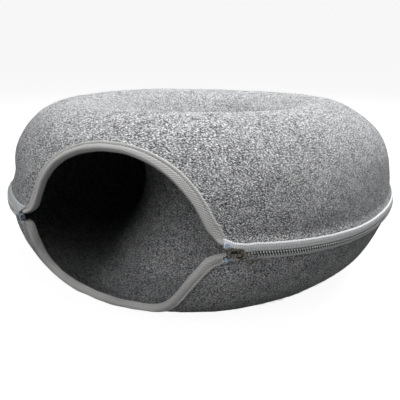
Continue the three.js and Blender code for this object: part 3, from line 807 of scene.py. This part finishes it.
def bindingPiece(name, half):
    edge = edgeFrames(half, np.linspace(0, 1, bindingShape["edgeParts"]))
    length = edge["length"]
    kept = (edge["azimuth"] >= half["bindingFrom"]) & (edge["azimuth"] <= half["bindingTo"])
    inside = np.flatnonzero(kept)
    stations = np.arange(length[inside[0]], length[inside[-1]], bindingShape["step"])
    at = {key: np.interp(stations, length, edge[key]) for key in edge}
    contour, mask = bindingContour()
    reach = bindingReachAt(half, at["azimuth"])
    widen = 1 + (reach[:, None] / bindingShape["reach"] - 1) * (contour[:, 0] > 0.5)
    into = contour[:, 0] * widen
    out = np.broadcast_to(contour[:, 1], into.shape).copy()
    across = np.concatenate([[0], np.cumsum(np.hypot(*np.diff(contour, axis=0).T))])
    tangent = np.gradient(contour, axis=0)
    tangent /= np.linalg.norm(tangent, axis=1, keepdims=True)
    outwardNormal = np.stack([-tangent[:, 1], tangent[:, 0]], 1)
    topRow = np.argmax(contour[:, 1])
    if outwardNormal[topRow, 1] < 0:
        outwardNormal = -outwardNormal
    groove = reach[:, None] - bindingShape["grooveInset"]
    onFace = np.abs(contour[:, 1] - contour[:, 1].max()) < 0.05
    onBack = np.abs(contour[:, 1] - contour[:, 1].min()) < 0.05
    dip = bell(into - groove, bindingShape["grooveWidth"])
    wave = np.cos(2 * math.pi * stations / bindingShape["stitch"])[:, None]
    pucker = 1 - bindingShape["pucker"] + bindingShape["pucker"] * wave
    out -= bindingShape["grooveDepth"] * dip * pucker * onFace
    out += bindingShape["grooveDepth"] * bindingShape["backGroove"] * dip * onBack
    phase = (stations[:, None] + bindingShape["ribSlant"] * across) / bindingShape["ribPitch"]
    rib = bindingShape["ribHeight"] * np.cos(2 * math.pi * phase) * mask
    place = feltPoint(half, at["azimuth"][:, None], at["turn"][:, None], out)
    height, wavelength, seed = bindingShape["slack"]
    slack = height * softNoise(place, wavelength, seed) * mask
    into = into + outwardNormal[:, 0] * (rib + slack)
    out = out + outwardNormal[:, 1] * (rib + slack)
    points = feltPoint(half, at["azimuth"][:, None] + at["azimuthPerMm"][:, None] * into,
                       at["turn"][:, None] + at["turnPerMm"][:, None] * into, out)
    along = np.append(stations, stations[-1] + 1) - stations[0]
    across = np.append(across, across[-1] + 1)
    piece = sweepPiece(name, points, False, twillBinding, along, across,
                       bindingShape["crease"])
    stitches = bindingStitches(name + "Stitches", half, at, stations, reach, contour)
    return piece, stitches, stations[-1] - stations[0]


# Two rows of lockstitch, one on each face of the folded tape, their thread painted dark as the
# stitch line's shade
def bindingStitches(name, half, at, stations, reach, contour):
    pitch = bindingShape["stitch"]
    starts = np.arange(stations[0] + 1.0, stations[-1] - pitch, pitch)
    part = np.linspace(0, 1, 7)
    gap = bindingShape["stitchGap"]
    along = starts[:, None] + gap / 2 + part * (pitch - gap)
    arch = np.sin(math.pi * part) ** 0.5
    radius = bindingShape["threadRadius"] * (0.35 + 0.65 * arch)
    azimuth = np.interp(along, stations, at["azimuth"])
    turn = np.interp(along, stations, at["turn"])
    azimuthPerMm = np.interp(along, stations, at["azimuthPerMm"])
    turnPerMm = np.interp(along, stations, at["turnPerMm"])
    into = np.interp(along, stations, reach) - bindingShape["grooveInset"]
    centres = []
    normals = []
    depth = bindingShape["grooveDepth"]
    stand, sunk = bindingShape["threadStand"]
    for level, lean in ((contour[:, 1].max() - depth, 1),
                        (contour[:, 1].min() + bindingShape["backGroove"] * depth, -1)):
        out = level + lean * (stand * arch - sunk)
        centre = feltPoint(half, azimuth + azimuthPerMm * into, turn + turnPerMm * into, out)
        above = feltPoint(half, azimuth + azimuthPerMm * into, turn + turnPerMm * into, out + 1)
        centres.append(centre)
        normals.append(above - centre)
    centre = np.concatenate(centres)
    normal = np.concatenate(normals)
    radii = np.broadcast_to(radius, centre.shape[:2])
    return threadPiece(name, centre, normal, radii, bindingShape["threadSides"],
                       shadedBindingThread)


upperBinding, upperStitches, upperLength = bindingPiece("upperBinding", upperHalf)
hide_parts("upper_binding")
lowerBinding, lowerStitches, lowerLength = bindingPiece("lowerBinding", lowerHalf)
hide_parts("lower_binding")
print("felt bed: bindings", round(upperLength), round(lowerLength), "mm long")

# The zip: tapes, sewing and coils
zipShape = {
    "tape": 1.1,
    "ribPitch": 1.5,
    "ribHeight": 0.22,
    "ribSteps": 3,
    "faceParts": (0, 0.04, 0.1, 0.18, 0.28, 0.4, 0.52, 0.64, 0.74, 0.82, 0.88, 0.93, 0.97, 1),
    "backParts": (1, 0.8, 0.55, 0.3, 0.0),
    # which edge, rise, distance from that edge, span
    "relief": [
        ("margin", 0.4, 0.8, 0.7), ("margin", -0.22, 2.3, 0.9),
        ("near", 0.3, 0.5, 0.5), ("near", -0.16, 1.6, 0.55),
    ],
    "crown": [("margin", 0.55, 2.8, 2.2), ("margin", -0.3, 0, 1.2)],    # upper tape only
    "beadRise": (0.16, 0.10),                   # off the face, and along the near edge
    "wander": 0.16,
    "ribWander": 0.35,
    "crease": 55,
    "width": 9,                                 # across the face, as its weave counts it
    "sliderEnd": 22.7,
    "boxEnd": 333.29,
    "coilEnd": 25.3,
    "apart": (3.9, 22.1, 25.2),                 # gap at the slider, from and to azimuth
    "lift": (1.5, 27, 29, 328.8, 331.6),        # over the bindings' ends
    "stitch": 3.2,
    "threadRadius": 0.52,
    "threadSides": 5,
    "threadFrom": 26.7,                         # azimuth of the first loop
    "threadTo": 1.5,                            # degrees short of the box
    "chainRows": [
        {"from": 0.6, "to": 2.3, "lean": 0.8, "shift": 0.0, "pitch": 2.5, "stand": 0.8},
        {"from": 3.2, "to": 4.8, "lean": 0.8, "shift": 1.25, "pitch": 2.5, "stand": 0.8},
    ],
    "seamRows": [
        {"from": 1.3, "to": 1.6, "lean": 1.3, "shift": 0.0, "pitch": 3.2, "stand": 0.3},
        {"from": 4.6, "to": 4.9, "lean": 2.3, "shift": 0.9, "pitch": 3.2, "stand": 0.3},
    ],
    "coilPitch": 1.45,
    "coilSteps": 6,
    "coilHeight": (1.3, 1.08),                  # middle of the coil, and its reach each way
    "coilDepth": 1.1,
    "coilSquare": 0.7,
    "coilClear": 0.6,                           # mm short of each end
    "wire": 0.34,
    "wireSides": 5,
}


def zipLift(azimuth):
    lift, fallFrom, fallTo, riseFrom, riseTo = zipShape["lift"]
    atSlider = 1 - easing(azimuth, fallFrom, fallTo)
    return lift * np.maximum(atSlider, easing(azimuth, riseFrom, riseTo))


def tapeHeights(half, azimuth):
    rows = np.array(half["margin"])
    margin = np.interp(azimuth, rows[:, 0], rows[:, 1])
    gap, start, end = zipShape["apart"]
    near = ring["butt"] + gap * (1 - easing(azimuth, start, end))
    tailAzimuth, tailHeight = half["margin"][-1]
    part = np.clip((azimuth - zipShape["boxEnd"]) / (tailAzimuth - zipShape["boxEnd"]), 0, 1)
    slanted = mix(2.8 + 2 * seat, tailHeight - 2.4, part)
    return np.where(azimuth > zipShape["boxEnd"], slanted, near), margin


# Ridges and troughs that run along the tape
def tapeRelief(rows, fromMargin, fromNear):
    rise = 0
    for edge, height, at, span in rows:
        distance = fromMargin if edge == "margin" else fromNear
        rise = rise + height * bell(distance - at, span)
    return rise


def tapePiece(name, half):
    tail = half["margin"][-1][0]
    step = zipShape["ribPitch"] / zipShape["ribSteps"]
    count = int((tail - zipShape["sliderEnd"]) * perDegree / step)
    azimuth = np.linspace(zipShape["sliderEnd"], tail, count)
    onBoxEnd = np.argmin(np.abs(azimuth - zipShape["boxEnd"]))
    azimuth[onBoxEnd] = zipShape["boxEnd"]
    stations = azimuth * perDegree
    near, margin = tapeHeights(half, azimuth)
    source = np.random.default_rng(12 + half["side"])
    wander = np.convolve(source.normal(size=count), (0.3, 0.5, 0.3), "same")
    margin = margin + zipShape["wander"] * wander
    faceParts = np.array(zipShape["faceParts"])
    backParts = np.array(zipShape["backParts"])
    parts = np.concatenate([faceParts, backParts])
    height = mix(near[:, None], margin[:, None], parts)
    fromMargin = margin[:, None] - height
    fromNear = height - near[:, None]
    onFace = np.arange(len(parts)) < len(faceParts)
    face = seat + zipShape["tape"]
    rise = tapeRelief(zipShape["relief"], fromMargin, fromNear)
    crown = tapeRelief(zipShape["crown"], fromMargin, fromNear)
    rise = rise + crown * (half["side"] > 0)
    ribs = np.cos(2 * math.pi * stations / zipShape["ribPitch"])[:, None]
    beads = np.cos(2 * math.pi * stations / zipShape["stitch"])[:, None]
    uneven = np.convolve(source.normal(size=count), (0.3, 0.4, 0.3), "same")[:, None]
    uneven = 1 + zipShape["ribWander"] * uneven
    rise = rise + zipShape["ribHeight"] * ribs * uneven * (1 - 0.8 * bell(fromNear, 1.0))
    beadOut, beadAlong = zipShape["beadRise"]
    rise = rise + beadOut * beads * bell(fromNear - 0.4, 0.5)
    backOut = seat + 0.15 * easing(parts, 0.55, 0.8)
    out = np.where(onFace, face + rise, backOut)
    out = np.where(fromMargin < 0.02, np.where(onFace, face - 0.25, backOut), out)
    height = height + np.where(onFace, beadAlong * beads * bell(fromNear, 0.3), 0)
    points = feltPoint(half, azimuth[:, None], turnAt(half, np.maximum(height, 0.05)),
                       out + zipLift(azimuth)[:, None])
    along = np.append(stations, stations[-1] + 1)
    width = zipShape["width"]
    backAcross = width + zipShape["tape"] + (1 - backParts) * width
    across = np.concatenate([faceParts * width, backAcross, [21]])
    cloth = ribbedTape if half["side"] > 0 else chainShadeTape
    return sweepPiece(name, points, False, cloth, along, across, zipShape["crease"])


# Loops of the closed chain that show below the upper tape's edge, and the tapes' sewing
def zipThreads(name, half, rows, radius):
    last = (zipShape["boxEnd"] - zipShape["threadTo"]) * perDegree
    part = np.linspace(0, 1, 6)
    arch = np.sin(math.pi * part) ** 0.6
    centres = []
    normals = []
    for row in rows:
        start = zipShape["threadFrom"] * perDegree + row["shift"]
        starts = np.arange(start, last, row["pitch"])
        azimuth = (starts[:, None] + part * row["lean"]) / perDegree
        _, margin = tapeHeights(half, azimuth)
        height = np.minimum(mix(row["from"], row["to"], part), margin - 2.4)
        out = seat + zipShape["tape"] + row["stand"] * arch - 0.2 + zipLift(azimuth)
        centre = feltPoint(half, azimuth, turnAt(half, height), out)
        normals.append(feltPoint(half, azimuth, turnAt(half, height), out + 1) - centre)
        centres.append(centre)
    centre = np.concatenate(centres)
    radii = np.broadcast_to(radius * (0.45 + 0.55 * arch), centre.shape[:2])
    return threadPiece(name, centre, np.concatenate(normals), radii, zipShape["threadSides"],
                       sewingThread)


# One row of the coil: a squarish nylon helix whose heads pass between the other row's
def coilPiece(name, half):
    pitch = zipShape["coilPitch"]
    first = zipShape["coilEnd"] * perDegree + zipShape["coilClear"]
    last = zipShape["boxEnd"] * perDegree - zipShape["coilClear"]
    loops = int((last - first) / pitch) - 1
    steps = zipShape["coilSteps"]
    phase = np.arange(loops * steps) / steps
    shift = 0.0 if half["side"] > 0 else pitch / 2
    along = first + shift + phase * pitch
    wire = zipShape["wire"]
    turn = 2 * math.pi * phase
    square = zipShape["coilSquare"]
    squareCos = np.sign(np.cos(turn)) * np.abs(np.cos(turn)) ** square
    squareSin = np.sign(np.sin(turn)) * np.abs(np.sin(turn)) ** square
    middle, reach = zipShape["coilHeight"]
    height = middle - reach * squareCos
    azimuth = along / perDegree
    depth = zipShape["coilDepth"]
    out = -depth + (depth - wire) * squareSin + zipLift(azimuth)
    centre = feltPoint(half, azimuth, turnAt(half, np.maximum(height, 0.12)), out)
    tangent = np.gradient(centre, axis=0)
    aside = np.stack([np.cos(np.radians(azimuth)), np.sin(np.radians(azimuth)),
                      np.zeros_like(azimuth)], -1)
    normal = np.cross(tangent, aside)
    radii = np.full((1, len(phase)), wire)
    return threadPiece(name, centre[None], normal[None], radii, zipShape["wireSides"],
                       nylonCoil)


for side, half, rows in (("upper", upperHalf, zipShape["seamRows"]),
                         ("lower", lowerHalf, zipShape["chainRows"])):
    tapePiece(side + "ZipTape", half)
    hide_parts(side + "_zip_tape")
    zipThreads(side + "ZipStitches", half, rows,
                                              zipShape["threadRadius"])
    coilPiece(side + "ZipCoil", half)
    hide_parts(side + "_zip_coil")

# Slider, pull tab, box and films keep their solids, with rounded edges on the hard ones
hardware = {
    "zip_slider": (darkMetal, 0.28),
    "pull_tab": (darkMetal, 0.22),
    "zip_box": (boxPlastic, 0.3),
    "upper_tape_film": (blueFilm, 0.0),
    "lower_tape_film": (blueFilm, 0.0),
}
for name, (finish, roundness) in hardware.items():
    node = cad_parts[name]
    node.data.materials.clear()
    node.data.materials.append(finish)
    if roundness:
        rounded = node.modifiers.new("roundedEdges", "BEVEL")
        rounded.width = roundness * 0.001
        rounded.segments = 3
        rounded.limit_method = "ANGLE"
        rounded.angle_limit = math.radians(35)
        rounded.harden_normals = False
print("felt bed: slider, tab, box and films")

# Floor, light and camera
studio = {
    "floor": (0.22, 0.22, 0.22, 1),
    "glow": 0.93,
    "floorRadius": 30.0,
    "sky": (0.93, 0.93, 0.93),
    "bounce": (0.17, 0.17, 0.17, 1),
    "ambient": (0.04, 0.041, 0.042),
    "keyPlace": (0.4, 0.55, 1.7),
    "keySize": 1.3,
    "keyPower": 55.0,
    "fillPlace": (-0.5, -1.4, 1.05),
    "fillSize": 0.9,
    "fillPower": 10.5,
    "sidePlace": (1.1, -1.0, 1.7),
    "sideSize": 1.0,
    "sidePower": 4.0,
    "floorRings": (0.4, 1.0, 2.5, 6.0),
    "floorSides": 64,
    "aim": (0, 0, 0.1),
}


def floorPiece():
    radii = (*studio["floorRings"], studio["floorRadius"])
    sides = studio["floorSides"]
    angles = np.linspace(0, 2 * math.pi, sides, endpoint=False)
    points = [(r * math.cos(a), r * math.sin(a), 0) for r in radii for a in angles]
    faces = [list(range(sides))]
    for i in range(len(radii) - 1):
        inner = i * sides
        outer = inner + sides
        for j in range(sides):
            k = (j + 1) % sides
            faces.append([inner + j, outer + j, outer + k, inner + k])
    mesh = bpy.data.meshes.new("studioFloor")
    mesh.from_pydata(points, [], faces)
    floor = bpy.data.objects.new("studioFloor", mesh)
    scene.collection.objects.link(floor)
    made, tree, shader = newMaterial("paleFloor", 0.9, {"Specular IOR Level": 0.0})
    rays = addNode(tree, "ShaderNodeLightPath")
    colour = blendColour(tree, rays.outputs["Is Camera Ray"], studio["bounce"],
                         studio["floor"])
    tree.links.new(colour, shader.inputs["Base Color"])
    shader.inputs["Emission Color"].default_value = (1, 1, 1, 1)
    glow = calculate(tree, "MULTIPLY", rays.outputs["Is Camera Ray"], studio["glow"])
    tree.links.new(glow, shader.inputs["Emission Strength"])
    floor.data.materials.append(made)


def addLight(name, place, size, power):
    data = bpy.data.lights.new(name, "AREA")
    data.shape = "SQUARE"
    data.size = size
    data.energy = power
    light = bpy.data.objects.new(name, data)
    light.location = place
    aim = Vector(studio["aim"]) - Vector(place)
    light.rotation_euler = aim.to_track_quat("-Z", "Y").to_euler()
    scene.collection.objects.link(light)


floorPiece()
addLight("overheadSoftbox", studio["keyPlace"], studio["keySize"], studio["keyPower"])
addLight("frontFill", studio["fillPlace"], studio["fillSize"], studio["fillPower"])
addLight("sideFill", studio["sidePlace"], studio["sideSize"], studio["sidePower"])
world = bpy.data.worlds.new("studio")
world.use_nodes = True
sky = world.node_tree.nodes["Background"]
seen = addNode(world.node_tree, "ShaderNodeLightPath").outputs["Is Camera Ray"]
tint = blendColour(world.node_tree, seen, (*studio["ambient"], 1), (*studio["sky"], 1))
world.node_tree.links.new(tint, sky.inputs[0])
scene.world = world
scene.view_settings.view_transform = "Standard"

eye = {"place": (0.1579, -0.4799, 0.2414), "heading": 18.5, "down": 0.363, "lens": 31.59,
       "shift": (-0.00035, 0.0019)}
lensData = bpy.data.cameras.new("photoView")
lensData.lens = eye["lens"]
lensData.sensor_width = 36.0
lensData.shift_x, lensData.shift_y = eye["shift"]
lensData.clip_start = 0.01
lensData.clip_end = 50.0
camera = bpy.data.objects.new("photoView", lensData)
camera.location = eye["place"]
camera.rotation_euler = (math.pi / 2 - eye["down"], 0, math.radians(eye["heading"]))
scene.collection.objects.link(camera)
scene.camera = camera
print("felt bed: floor, light and camera")
